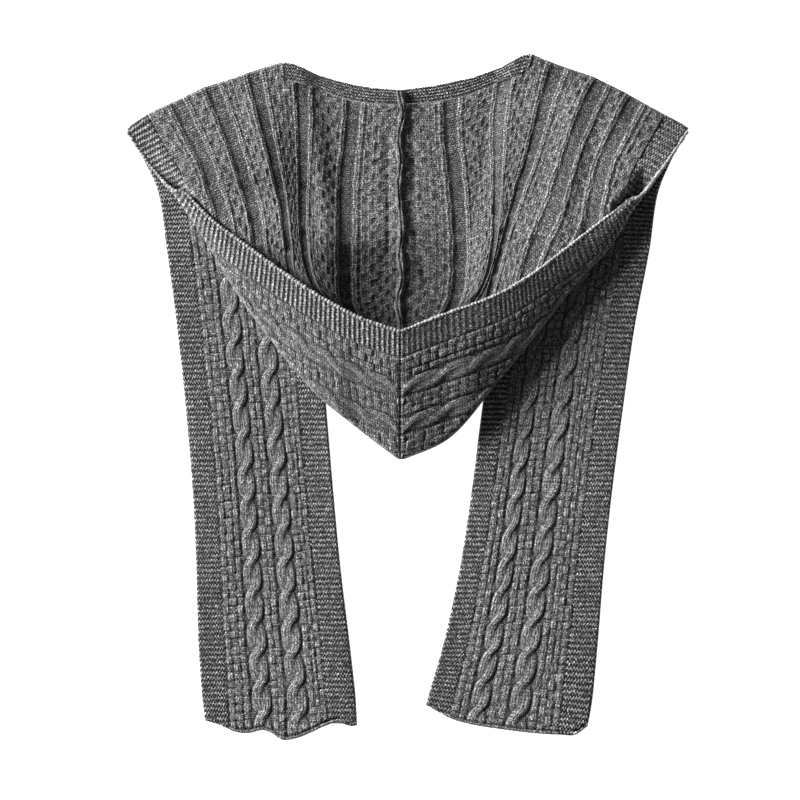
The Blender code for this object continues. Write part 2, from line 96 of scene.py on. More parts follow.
# How high the back of the hood rises towards its corners, and the distances from the seam it rises
# over: near the neck, and down in the pouch.
FLANK_LIFT = {
    "left": ((11.0, 55.0, 225.0), (20.0, 2.0, 88.0)),
    "right": ((19.0, 80.0, 285.0), (11.5, 65.0, 165.0)),
}
FLANK_FADE = {"left": (15.0, 1.2), "right": (14.0, 0.0)}  # how soon it comes down beside the fold
FLANK_EASE = {"left": 100.0, "right": 45.0}  # it comes in over this height above the shoulder
POUCH_PAINTED_SHADE = 0.55  # painted shade: how much darker the cloth's colour is made down in the pouch
SEAM_RIDGE = 4.5  # the stiff seam stands up this far down in the pouch
LEAST_WALL = 0.8
SWELL = 0.9  # how far the tails swell and sink between the creases
TAIL_ROUND = 2.2  # a tail's edges round down over this width
RIM_CORNER = 7.0
WELT_HALF = 4.0
WELT_TALL = 4.2
SEWING = (1.1, 0.75)  # half the width and height of the sewing in the centre seam
CHAIN_OUT = 0.6

# A row for each section across a hood half: its place up the panel, the rim (x, y, z), the pouch's
# fold (x, y), how far it has turned in degrees and its radius, the places of three cables on the
# back, and the seam (y).
HOOD_SECTIONS = {
    "left": (
        (0, -295.5, 281, 6, -295.5, 281, 0, 6.0, -162, 341, -112, 345, -55, 327, 322),
        (50, -268, 240, 8, -268, 240, 30, 6.0, -149, 287, -109, 290, -59, 271, 271),
        (97, -231, 209, 19, -236, 202, 180, 6.0, -138, 240, -109, 242, -64, 224, 227),
        (135, -205, 184, 24, -209, 161, 180, 6.5, -131, 206, -110, 207, -65, 188, 196),
        (177, -171, 159, 29, -178, 110, 180, 7.0, -125, 165, -109, 166, -66, 148, 158),
        (222, -134, 132, 34, -142, 60, 180, 7.5, -118, 120, -100, 122, -65, 102, 118),
        (275, -90, 103, 39, -94, 3, 180, 7.5, -78, 47, -66, 75, -50, 72, 70),
        (319, -51, 82, 42, -51, -33, 180, 7.5, -42, -10, -34, 14, -26, 24, 30),
        (365, -7.5, 67, 44, -7.5, -66, 180, 7.0, -7.5, -50, -7.5, -37, -7.5, -22, -9),
    ),
    "right": (
        (0, 295.5, 282, 6, 295.5, 282, 0, 6.0, 156, 350, 104, 349, 45, 330, 322),
        (50, 265, 237, 8, 265, 237, 30, 6.0, 141, 293, 96, 292, 46, 272, 271),
        (97, 229, 202, 18, 234, 194, 180, 6.0, 129, 251, 95, 248, 51, 229, 227),
        (135, 204, 183, 23, 211, 157, 180, 6.5, 118, 219, 94, 214, 54, 196, 196),
        (177, 166, 154, 29, 174, 117, 180, 7.0, 104, 173, 92, 166, 56, 150, 158),
        (222, 130, 127, 34, 136, 68, 180, 7.5, 92, 130, 82, 122, 53, 108, 118),
        (275, 88, 103, 39, 94, 17, 180, 7.5, 72, 60, 54, 73, 34, 70, 70),
        (319, 39, 85, 42, 46, -40, 180, 7.5, 36, -14, 24, 10, 12, 22, 30),
        (365, -7.5, 67, 44, -7.5, -66, 180, 7.0, -7.5, -50, -7.5, -37, -7.5, -22, -9),
    ),
}
# The hood panel's first row, as the distance across the panel and the place.
TOP_EDGE = {
    "left": (
        (0, -295.5, 281), (32, -268, 299), (67, -237, 313), (91, -215, 324), (125, -183, 334),
        (148, -161, 342), (165, -144, 347), (178, -131, 351), (190, -119, 349), (202, -110, 345),
        (219, -95, 338), (240, -75, 332), (260, -55, 327), (281, -35, 324), (310, -7.5, 322),
    ),
    "right": (
        (0, 295.5, 282), (26, 271, 295), (50, 249, 307), (74, 228, 319), (109, 196, 335),
        (142, 164, 346), (163, 142, 354), (178, 130, 359.6), (187, 120, 358), (209, 99, 346),
        (240, 68, 335), (262, 45, 330), (281, 25, 326), (310, -7.5, 322),
    ),
}
# A row for each section across a tail, from the hem up: its outer edge and its inner edge.
TAIL_SECTIONS = {
    "left": (
        (-215, -331, -52, -335), (-220, -256, -61, -256), (-222, -182, -70, -182),
        (-226, -98, -78, -98), (-233, -14, -85, -14), (-242, 70, -92, 72), (-253, 154, -100, 158),
        (-263, 217, -110, 236), (-278, 250, -120, 290), (-295, 281, -132, 350),
    ),
    "right": (
        (192, -342, 20, -319), (200, -256, 38, -256), (206, -182, 54, -182), (215, -98, 67, -98),
        (226, -14, 78, -14), (238, 70, 89, 72), (254, 154, 100, 159), (264, 217, 113, 242),
        (277, 248, 122, 299), (295, 282, 130, 359),
    ),
}
# The hem's waves: the share across the tail from its outer edge, and the hem's place.
HEMS = {
    "left": (
        (0, -213, -340), (0.1, -197, -345), (0.2, -181, -352), (0.3, -165, -353),
        (0.37, -153, -350), (0.45, -142, -354), (0.51, -133, -360), (0.6, -118, -359),
        (0.69, -102, -353), (0.79, -87, -346), (0.89, -71, -342), (0.95, -60, -346), (1, -53, -345),
    ),
    "right": (
        (0, 189, -346), (0.08, 176, -355), (0.17, 160, -355), (0.35, 129, -353), (0.53, 97, -349),
        (0.71, 66, -344), (0.84, 45, -338), (0.93, 30, -330), (1, 19, -324),
    ),
}
HEM_EASE = 30.0
HEM_ROLL = 4.2  # the cast-on edge rolls up, and this far above it a dark line closes the roll

# Widths across a tail, from its outer edge: band, basket, cable, basket, cable, basket, band.
TAIL_PATTERN = {
    "left": (27.0, 22.0, 21.5, 13.5, 22.5, 18.5, 29.0),
    "right": (28.0, 27.0, 21.5, 16.0, 19.0, 14.5, 24.0),
}

# Soft troughs (depth above 0) and ridges (below 0) laid on the back of the hood: half
# width, depth, and the line in plan.
CREASES = (
    (12.0, 2.2, ((-128, 322), (-114, 262), (-105, 205), (-98, 140))),
    (9.0, -1.6, ((-168, 322), (-152, 270), (-138, 213), (-128, 160))),
    (9.0, 2.0, ((84, 325), (88, 262), (88, 202), (82, 140))),
    (14.0, -2.2, ((182, 322), (172, 262), (160, 205), (140, 150))),
    (10.0, 1.8, ((206, 318), (196, 262), (186, 220), (168, 180))),
    (4.0, 1.6, ((3, 300), (6, 240), (4, 190), (14, 140), (26, 100))),
    (4.0, 1.5, ((-19, 290), (-22, 230), (-20, 175), (-27, 120))),
)

# ---- how finely the shells are cut ----
PANEL_CELL = 1.55
TAIL_CELL = 1.15
HIDDEN_CELL = 5.0
BAND_CELL = 1.1
RIM_CELLS = (1.35, 0.7)
ROOM_CELL = 1.5
TAIL_SHOWN = 486.0
HEM_ROWS = 9.0  # the rows lie closer together up to here
OPEN = 99.0  # nothing lies above

# ---- the yarn, the camera and the light ----
WALE = 2.9
COURSE = 2.35
DARK_FIBRE = (0.02, 0.02, 0.0205, 1)
LIGHT_FIBRE = (0.33, 0.33, 0.333, 1)
GARTER_SHADE = (1.85, -0.12)  # painted highlight on a garter ridge, and the painted shade between ridges
FRAME_WIDE = 0.84  # metres of the surface across the picture
CAMERA_HIGH = 4.0
CAMERA_AT = (-0.0079, -0.0037)
KEY_AT = (-8.8, 3.74, 2.95)
KEY_SIZE = 5.2
KEY_POWER = 4800.0
FILL_LIGHT = 0.13


def smooth(x):
    x = np.clip(x, 0.0, 1.0)
    return x * x * (3.0 - 2.0 * x)


def bell(x):
    return np.exp(-(x**2))


def unit(v):
    return v / np.maximum(np.linalg.norm(v, axis=-1, keepdims=True), 1e-9)


def run_along(points):
    """How far along a line each of its points lies."""
    steps = np.linalg.norm(np.diff(points, axis=0), axis=1)
    return np.concatenate([[0.0], np.cumsum(steps)])


def read_line(distance, places, at):
    return np.stack([np.interp(at, distance, column) for column in places.T], axis=-1)


def spline(knots, values, at):
    """A smooth curve through the rows of values at knots, read at each of at."""
    knots, values, at = (np.asarray(x, float) for x in (knots, values, at))
    step = np.diff(knots)[:, None]
    slope = np.diff(values, axis=0) / step
    inner = (slope[:-1] * step[1:] + slope[1:] * step[:-1]) / (step[:-1] + step[1:])
    tangent = np.concatenate([slope[:1], inner, slope[-1:]])
    i = np.clip(np.searchsorted(knots, at) - 1, 0, len(step) - 1)
    h = step[i]
    t = np.clip((at - knots[i])[:, None] / h, 0.0, 1.0)
    return (
        values[i] * (1 + 2 * t) * (1 - t) ** 2
        + tangent[i] * h * t * (1 - t) ** 2
        + values[i + 1] * t * t * (3 - 2 * t)
        - tangent[i + 1] * h * t * t * (1 - t)
    )


def uneven(x, y, size, seed):
    """A soft uneven value about 0, with bumps of about this size."""
    rng = np.random.default_rng(seed)
    total = 0.0
    for _ in range(5):
        angle, phase = rng.uniform(0, 2 * math.pi, 2)
        pitch = size * rng.uniform(0.7, 1.5)
        total = total + np.sin((x * math.cos(angle) + y * math.sin(angle)) / pitch + phase)
    return total / 5.0


# ---- stitches as relief: height, how far the cloth there is knit side up, and more ----


def basket(across, up, start, end):
    """Uneven blocks of knit and purl, set like bricks in whole columns between start and end.

    Gives the height, 1 where the block is raised, and how far the cloth lies between blocks."""
    count = max(1, round((end - start) / BASKET_COLUMN))
    rng = np.random.default_rng(int(start * 10))
    lines = np.arange(1, count) + rng.uniform(-0.14, 0.14, count - 1)
    edges = start + (end - start) * np.concatenate([[0.0], lines / count, [1.0]])
    column = np.clip(np.searchsorted(edges, across, side="right") - 1, 0, count - 1)
    level = up / BLOCK_TALL + 0.93 * column + rng.uniform(-0.1, 0.1, count)[column]
    block = np.floor(level)
    sideways = np.abs(2 * (across - edges[column]) / (edges[column + 1] - edges[column]) - 1)
    lengthways = np.abs(2 * (level - block) - 1)
    rounded = np.clip((1 - sideways**6) * (1 - lengthways**8), 0, 1)
    raised = (block % 2) < 0.5
    puffs = rng.uniform(0.65, 1.25, 997)
    puff = puffs[(block.astype(int) + 61 * column) % len(puffs)]
    rise = puff * np.where(raised, BLOCK_RISE, BLOCK_LEAST)
    height = rise * np.sqrt(rounded) - 0.6 * sideways**6 - 0.9 * lengthways**8
    return height, np.where(raised, 1.0, 0.0), (1 - rounded) * puff


def cable(across, up, width):
    """A two-strand rope, where it is knit side up, and how far its stitches sway with the strands.

    At each crossing the strand from the lower left lies on top."""
    scale = CABLE_WIDTH / width
    beside = across * scale
    phase = math.pi * (up - FIRST_CROSSING) / CROSSING
    swap = np.tanh(STRAND_SQUARE * np.sin(phase)) / math.tanh(STRAND_SQUARE)
    strands = []
    clear = OPEN
    for sign in (1.0, -1.0):
        over = STRAND_OVER * sign * np.cos(phase)
        off = np.abs(beside - STRAND_SWAY * sign * swap) / STRAND_HALF
        strands.append((CABLE_RISE + over) * np.sqrt(np.clip(1 - off**3, 0.0, 1.0)))
        clear = np.minimum(clear, STRAND_HALF * (off - 1))
    first, second = strands
    height = np.maximum(first, second)
    # A crease where one strand dives under the other, deepest at the crossing.
    close = bell((first - second) / 0.5) * (height > 0.8)
    height = height - (0.1 + 1.3 * np.cos(phase) ** 2) * close
    height = np.maximum(height, 0.0) - GROOVE * bell((clear - 0.5) / GROOVE_HALF)
    knit = height > ROPE_LEAST
    return height, knit, np.where(first > second, 1.0, -1.0) * STRAND_SWAY * swap / scale * knit


def garter(up, pitch):
    return GARTER_RISE * (0.5 + 0.5 * np.cos(2 * math.pi * up / pitch))


def patchwork(across, patches):
    """Layers of relief side by side, from patches given as start, end and their layers."""
    layers = np.zeros((4, *across.shape))
    for start, end, patch in patches:
        inside = (across >= start) & (across <= end)
        for layer, values in zip(layers, patch):
            np.copyto(layer, values, where=inside)
    return layers


def tail_relief(side, across, up):
    """The right side of a tail: height, knit, how its stitches sway, and garter."""
    edges = np.concatenate([[0.0], np.cumsum(TAIL_PATTERN[side])])
    mirror = 1.0 if side == "left" else -1.0
    patches = []
    for k, (start, end) in enumerate(zip(edges, edges[1:])):
        if k in (0, 6):
            patch = garter(up, GARTER_PITCH), 0.0, 0.0, 1.0
        elif k in (2, 4):
            rope, knit, sway = cable(mirror * (across - (start + end) / 2), up, end - start)
            patch = rope, knit, mirror * sway
        else:
            patch = basket(across, up, start, end)[:2]
        patches.append((start, end, patch))
    layers = patchwork(across, patches)
    for line in (edges[1], edges[6]):
        layers[0] -= 0.35 * bell((across - line) / 1.3)
    return layers


def hood_strips():
    """The basket stitch between the hood's cables, and the cables, as starts and ends."""
    half = CABLE_WIDTH / 2
    edges = [RIM_BAND, *(middle + at for middle in HOOD_CABLES for at in (-half, half)), PANEL]
    strips = list(zip(edges, edges[1:]))
    return strips[0::2], strips[1::2]


def hood_relief(across, up):
    """The right side of the hood panel: height, knit, and how its stitches sway."""
    strips, cables = hood_strips()
    patches = []
    for start, end in strips:
        blocks, faced, _ = basket(across, up, start, end)
        patches.append((start, end, (1.2 * blocks, faced)))
    for start, end in cables:
        rope, *drawn = cable(across - (start + end) / 2, up, CABLE_WIDTH)
        patches.append((start, end, (0.95 * rope, *drawn)))
    return patchwork(across, patches)[:3]


def hood_back_relief(across, up):
    """The wrong side of the hood panel: ladders beside the backs of the cables, and blocks."""
    strips, cables = hood_strips()
    patches = []
    for start, end in strips:
        _, faced, between = basket(across, up + BLOCK_TALL, start, end)
        patches.append((start, end, (0.9 * between + 0.45 * faced, 0.4 * faced)))
    crossed = np.abs(np.cos(math.pi * (up - FIRST_CROSSING) / CROSSING)) ** 6
    ladders = 0.0
    for start, end in cables:
        beside = np.abs(across - (start + end) / 2)
        channel = -CHANNEL * smooth((CHANNEL_HALF - beside) / 2.0) * (1 - 0.5 * crossed)
        patches.append((start, end, (channel,)))
        ladders = ladders + smooth((2.9 - np.abs(beside - sum(LADDER_LINES) / 2)) / 1.4)
    height, knit = patchwork(across, patches)[:2]
    return height + LADDER_RISE * ladders, knit


# ---- places ----


def tail_stations(side):
    """How far up a tail's sections lie along its middle, and the sections."""
    table = np.array(TAIL_SECTIONS[side], float)
    return run_along((table[:, :2] + table[:, 2:]) / 2), table


def tail_place(side, share, up):
    """Plan places over a tail, and how far the hem's waves reach below its straight end."""
    ends = spline(*tail_stations(side), up)[:, None]
    place = ends[..., :2] * (1 - share[:, None]) + ends[..., 2:] * share[:, None]
    hem = np.array(HEMS[side], float)
    shift = spline(hem[:, 0], hem[:, 1:], share) - place[0]
    return place + shift * hem_ease(up)[:, None, None], -shift[:, 1]


def hem_ease(up):
    return np.clip(1 - up / HEM_EASE, 0.0, 1.0) ** 2


def inner_edge(side, y):
    table = np.array(TAIL_SECTIONS[side], float)
    return np.interp(y, table[:, 3], table[:, 2])


def seam_ridge(y):
    """How far the stiff seam stands up, between the neck and the pouch's fold."""
    return SEAM_RIDGE * smooth((215.0 - y) / 60.0) * smooth((y - 10.0) / 50.0)


def flank_lift(side, x, y, across, row, turned):
    """How far the back of the hood rises towards its corners, clear of its fold and shoulder."""
    deep = smooth((225.0 - y) / 70.0)
    near_neck, in_pouch = FLANK_LIFT[side]
    most, start, end = [p + (q - p) * deep for p, q in zip(near_neck, in_pouch)]
    way = np.clip((np.abs(x - SEAM_X) - start) / (end - start), 0.0, 1.0)
    rise = 0.6 * smooth(way) + 0.4 * way
    ridge = seam_ridge(y)
    if side == "left":
        lift = ridge + (most - ridge) * rise
    else:
        lift = most * rise + ridge * smooth(1 - (x - SEAM_X) / 65.0)
    least, share = FLANK_FADE[side]
    fade = smooth((across - turned - 2.0) / max(least, share * (turned - 12.0)))
    opened = 1 - smooth((row - 50.0) / 40.0)
    edge = smooth(across / 26.0) if side == "left" else 1.0
    return lift * np.maximum(fade, opened * edge) * smooth((row - 4.0) / FLANK_EASE[side])


def rest_height(x, y):
    """How high the tails hold the hood's back, with a soft step down beside each."""
    left = smooth((inner_edge("left", y) + BRIDGE + COME_DOWN - x) / COME_DOWN)
    right = smooth((x - inner_edge("right", y) + BRIDGE + COME_DOWN) / COME_DOWN)
    return (TAIL_WALL + GAP) * np.maximum(left, right)


def hood_row(side, row):
    """A row of the hood half along the middle of its wall: how far each point lies from the rim,
    the points, and how far from the rim the cloth has turned the fold."""
    table = np.array(HOOD_SECTIONS[side], float)
    section = spline(table[:, 0], table[:, 1:], [row])[0]
    rim, fold, turn, radius, seam_y = section[:3], section[3:5], *section[5:7], section[13]
    third, fourth, fifth = section[7:13].reshape(3, 2)
    turn = math.radians(min(max(turn, 0.0), 180.0))
    inward = unit(third - fold)
    towards_rim = unit(rim[:2] - fold + 1e-6 * inward)
    start = fold + inward * radius * math.sin(min(turn, math.pi / 2))
    base = rest_height(*start) + HOOD_WALL / 2
    angle = turn * (1 - np.linspace(0, 1, 25)) - math.pi / 2
    ahead = np.where(angle[:, None] > 0, towards_rim, inward)
    plan = start - inward * radius + ahead * (radius * (1 - np.cos(angle)))[:, None]
    curl = np.column_stack([plan, base + radius * (1 + np.sin(angle))])
    reach = float(smooth((math.degrees(turn) - FRONT_TURN) / (180.0 - FRONT_TURN)))
    if reach > 0:
        rim_point = curl[0] + (rim - curl[0]) * reach
        t = np.linspace(0.0, 1.0, 41)[:-1, None]
        front = rim_point + (curl[0] - rim_point) * t
        front[:, 2] += FRONT_BOW * reach * np.sin(math.pi * t[:, 0])
        curl = np.concatenate([front, curl])
    distance = run_along(curl)
    turned = distance[-1]
    left_over = PANEL - turned
    cables = zip(HOOD_CABLES[2:], CABLE_LEAST)
    knots = [max((at - turned) / left_over, least) for at, least in cables]
    share = np.linspace(0.0, 1.0, 141)[1:]
    back = spline([0.0, *knots, 1.0], [start, third, fourth, fifth, (SEAM_X, seam_y)], share)
    back = np.column_stack([back, rest_height(*back.T) + HOOD_WALL / 2])
    distance = np.concatenate([distance, turned + share * left_over])
    return distance, np.concatenate([curl, back]), turned


def crease_depth(x, y):
    """How far the laid creases sink the cloth, over plan places."""
    depth = np.zeros_like(x)
    at = np.linspace(0, 1, 60)
    for half, deep, line in CREASES:
        near = np.full_like(x, 1e9)
        along = np.zeros_like(x)
        for t, (px, py) in zip(at, spline(np.linspace(0, 1, len(line)), line, at)):
            far = (x - px) ** 2 + (y - py) ** 2
            along = np.where(far < near, t, along)
            near = np.minimum(near, far)
        fade = smooth(along / 0.15) * smooth((1 - along) / 0.2)
        depth += deep * fade * np.exp(-near / half**2) * (1 + 0.25 * uneven(x, y, 13.0, 7))
    return depth


class HoodMap:
    """The middle of one hood half's wall as a lattice of places and right-side normals, 1 mm
    apart."""

    def __init__(self, side):
        self.side = side
        across = np.arange(0.0, PANEL + 1)
        edge = np.array(TOP_EDGE[side], float)
        drawn = read_line(edge[:, 0], edge[:, 1:], across)
        own = read_line(*hood_row(side, 0.0)[:2], across)[:, :2]
        lattice = []
        for row in np.arange(0.0, HEIGHT + 1):
            distance, points, turned = hood_row(side, row)
            places = read_line(distance, points, across)
            ease = max(0.0, 1 - row / TOP_EASE) ** 2
            if ease > 0:
                places[:, :2] += (drawn - own) * ease
                lowest = rest_height(places[:, 0], places[:, 1]) + HOOD_WALL / 2
                places[:, 2] = np.maximum(places[:, 2], lowest)
            places[:, 2] += flank_lift(side, *places[:, :2].T, across, row, turned)
            lattice.append(places)
        self.places = np.array(lattice)
        handed = 1.0 if side == "left" else -1.0
        along, beside = (np.gradient(self.places, axis=axis) for axis in (0, 1))
        normal = handed * np.cross(beside, along)
        for _ in range(2):
            normal[1:-1, 1:-1] = (
                normal[1:-1, 1:-1] * 2 + normal[2:, 1:-1] + normal[:-2, 1:-1]
                + normal[1:-1, 2:] + normal[1:-1, :-2]
            ) / 6
        self.normals = unit(normal)

    def read(self, grid, across, up):
        j = np.clip(np.floor(across).astype(int), 0, int(PANEL) - 1)
        i = np.clip(np.floor(up).astype(int), 0, int(HEIGHT) - 1)
        u, v = (across - j)[..., None], (up - i)[..., None]
        return (
            grid[i, j] * (1 - u) * (1 - v) + grid[i, j + 1] * u * (1 - v)
            + grid[i + 1, j] * (1 - u) * v + grid[i + 1, j + 1] * u * v
        )

    def place(self, across, up):
        return self.read(self.places, across, up)

    def normal(self, across, up):
        return unit(self.read(self.normals, across, up))

    def keep(self, points):
        """Points kept on their own side of the seam and above the surface."""
        if self.side == "left":
            points[..., 0] = np.minimum(points[..., 0], SEAM_X - SEAM_HALF)
        else:
            points[..., 0] = np.maximum(points[..., 0], SEAM_X + SEAM_HALF)
        points[..., 2] = np.maximum(points[..., 2], 0.0)
        return points


# ---- meshes ----


def room_under(cloth_maps):
    """The lowest cloth of the hood over each small square of the surface, and the squares'
    corner."""
    corner = np.array([-310.0, -120.0])
    size = np.ceil((np.array([310.0, 380.0]) - corner) / ROOM_CELL).astype(int)
    room = np.full(size, OPEN)
    for cloth_map in cloth_maps:
        points = cloth_map.places.reshape(-1, 3)
        cell = ((points[:, :2] - corner) / ROOM_CELL).astype(int)
        np.minimum.at(room, tuple(cell.T), points[:, 2] - HOOD_WALL / 2)
    for axis in (0, 1):
        room = np.minimum(room, np.minimum(np.roll(room, 1, axis), np.roll(room, -1, axis)))
    return room, corner


def painted_hollow_shade(height, reach):
    """How far each point of a relief lies below the cloth around it, up to 1, kept as painted
    shade.
    """
    around = height
    for axis in (0, 1):
        total = sum(np.roll(around, k, axis) for k in range(-reach, reach + 1))
        around = total / (2 * reach + 1)
    return np.clip((around - height) / 0.9, -0.3, 1.0)


def pack_stitches_and_shade(knit, ribbed, painted_shade, wrong_side=0.0):
    """Four values a point: knit side up, garter, painted shade of the hollows, and the hood's wrong
    side.
    """
    values = [np.broadcast_to(x, painted_shade.shape) for x in (knit, ribbed, painted_shade, wrong_side)]
    return np.stack(values, axis=-1).reshape(-1, 4)


def shell(name, points, faces, flip, cloth, stitches_and_shade, material):
    """A closed mesh with its cloth map in millimetres, and its stitch marks with their painted
    shade.
    """
    mesh = bpy.data.meshes.new(name)
    faces = [tuple(reversed(f)) for f in faces] if flip else faces
    mesh.from_pydata((points * MM).tolist(), [], faces)
    mesh.update()
    mesh.shade_smooth()
    loops = np.empty(len(mesh.loops), np.int32)
    mesh.loops.foreach_get("vertex_index", loops)
    layer = mesh.uv_layers.new(name="Cloth")
    layer.uv.foreach_set("vector", np.asarray(cloth, np.float32)[loops].ravel())
    # The stitch marks carry the painted shade of the hollows as their third value.
    marks = mesh.attributes.new("stitch", "FLOAT_COLOR", "POINT")
    marks.data.foreach_set("color", np.asarray(stitches_and_shade, np.float32).ravel())
    mesh.materials.append(material)
    return put_in(name, mesh)


def put_in(name, data):
    piece = bpy.data.objects.new(name, data)
    bpy.context.scene.collection.objects.link(piece)
    return piece


def grid_faces(rows, columns):
    """Quads of a grid of points, and the points round its border in turn."""
    points = np.arange(rows * columns).reshape(rows, columns)
    a = points[:-1, :-1].ravel()
    faces = np.column_stack([a, a + 1, a + columns + 1, a + columns])
    loop = [points[0], points[1:, -1], points[-1, -2::-1], points[-2:0:-1, 0]]
    return faces, np.concatenate(loop).tolist()


def tube_faces(rings, count, turned):
    """Faces of a closed tube; turned where its rings run the other way round."""
    a = np.arange((rings - 1) * count).reshape(-1, count)
    b = np.roll(a, -1, axis=1)
    quad = (a, a + count, b + count, b) if turned else (a, b, b + count, a + count)
    first = list(range(count))[:: 1 if turned else -1]
    last = [(rings - 1) * count + k for k in first[::-1]]
    return np.dstack(quad).reshape(-1, 4).tolist() + [first, last]


def make_tail(side, over, material):
    """A tail, right side up, on a flat underside."""
    width = sum(TAIL_PATTERN[side])
    length = tail_stations(side)[0][-1]
    across = np.linspace(0.0, width, round(width / TAIL_CELL) + 1)
    shown = np.linspace(HEM_ROWS, TAIL_SHOWN, round((TAIL_SHOWN - HEM_ROWS) / TAIL_CELL) + 1)
    hidden = np.linspace(TAIL_SHOWN, length, round((length - TAIL_SHOWN) / HIDDEN_CELL) + 1)
    up = np.concatenate([np.arange(0.0, HEM_ROWS - 0.1, TAIL_CELL / 2), shown, hidden[1:]])
    a, v = np.meshgrid(across, up)
    # The cloth's own lines wander a little, so that no column of stitches is quite straight.
    drift_a = 0.8 * uneven(a, v, 22.0, 11) + 0.8 * uneven(a, v, 5.0, 13)
    plan, lower = tail_place(side, across / width, up)
    # The pattern keeps its own pitch down to the hem's waves.
    drift_v = 1.4 * uneven(a, v, 30.0, 12) - lower * hem_ease(v)
    height, knit, sway, ribbed = tail_relief(side, a + drift_a, v + drift_v)
    hem = v + lower * (1 - hem_ease(v))
    roll = 0.9 * bell((hem - 1.9) / 1.2) - 1.6 * bell((hem - HEM_ROLL) / 0.8)
    height = height * smooth((hem - 3.0) / 2.4) + roll
    edge = np.minimum(np.minimum(a, width - a), np.minimum(hem, length - v))
    swell = SWELL * uneven(plan[..., 0], plan[..., 1], 26.0, 3) * smooth(edge / 12)
    z = TAIL_WALL + height + swell - edge_drop(edge, TAIL_ROUND, TAIL_WALL * 0.55)
    # Under the pouch and the back of the hood the tail is pressed flat.
    room, corner = over
    cell = np.clip(((plan - corner) / ROOM_CELL).astype(int), 0, np.array(room.shape) - 1)
    above = room[cell[..., 0], cell[..., 1]]
    above = np.where(plan[..., 1] > corner[1] + ROOM_CELL, above, OPEN)
    top = np.dstack([plan, np.maximum(np.minimum(z, above - GAP), 0.6)])
    rows, columns = a.shape
    points = top.reshape(-1, 3)
    quads, loop = grid_faces(rows, columns)
    # The underside follows the border a little further in.
    border = points[loop, :2]
    centre = top[..., :2].mean(axis=1)[np.array(loop) // columns]
    border = np.column_stack([border + unit(centre - border) * UNDER_INSET, 0.0 * border[:, 0]])
    under = np.zeros(len(points), int)
    under[loop] = len(points) + np.arange(len(loop))
    faces = quads.tolist()
    faces += [(b, a, int(under[a]), int(under[b])) for a, b in zip(loop, loop[1:] + loop[:1])]
    under = under.reshape(rows, columns).tolist()
    faces.append([under[1][0], under[1][-1], *under[0][::-1]])
    for low, high in zip(under[1:-2], under[2:-1]):
        faces.append((high[0], high[-1], low[-1], low[0]))
    faces.append([*under[-1], under[-2][-1], under[-2][0]])
    points = np.concatenate([points, border])
    cloth = np.dstack([a + drift_a - sway, v + drift_v]).reshape(-1, 2)
    # Painted shade in the hollows of the tail's relief.
    stitches_and_shade = pack_stitches_and_shade(knit, ribbed, painted_hollow_shade(height, 3))
    cloth, stitches_and_shade = (np.concatenate([values, values[loop]]) for values in (cloth, stitches_and_shade))
    return shell(f"tail_{side}_knit", points, faces, side == "right", cloth, stitches_and_shade, material)


def edge_drop(distance, reach, deep):
    """How far a face rounds down towards an edge."""
    t = 1 - np.clip(distance / reach, 0, 1)
    return deep * (1 - np.sqrt(np.clip(1 - t * t, 0, 1)))


def make_wall(name, cloth_map, at, cloth, rises, stitches_and_shades, material, sway=0.0):
    """A closed wall on the hood's map: its right side, then its wrong side, each with its rise."""
    places, normals = cloth_map.place(*at), cloth_map.normal(*at)
    points = []
    for sign, rise in zip((1, -1), rises):
        face = places + sign * normals * (HOOD_WALL / 2 + rise)[..., None]
        points.append(cloth_map.keep(face).reshape(-1, 3))
    rows, columns = places.shape[:2]
    count = rows * columns
    quads, loop = grid_faces(rows, columns)
    faces = quads.tolist() + (count + quads[:, ::-1]).tolist()
    faces += [(b, a, count + a, count + b) for a, b in zip(loop, loop[1:] + loop[:1])]
    a, v = cloth
    cloth = np.concatenate([np.dstack([a - drawn, v]).reshape(-1, 2) for drawn in (sway, 0.0)])
    flip = cloth_map.side == "right"
    stitches_and_shade = np.concatenate(stitches_and_shades)
    return shell(name, np.concatenate(points), faces, flip, cloth, stitches_and_shade, material)


def neck_line(a):
    """Where the hood panel starts, above the neck band."""
    return (NECK_BAND + GAP) * np.clip((a - CORNER) / CORNER_EASE, 0.0, 1.0)


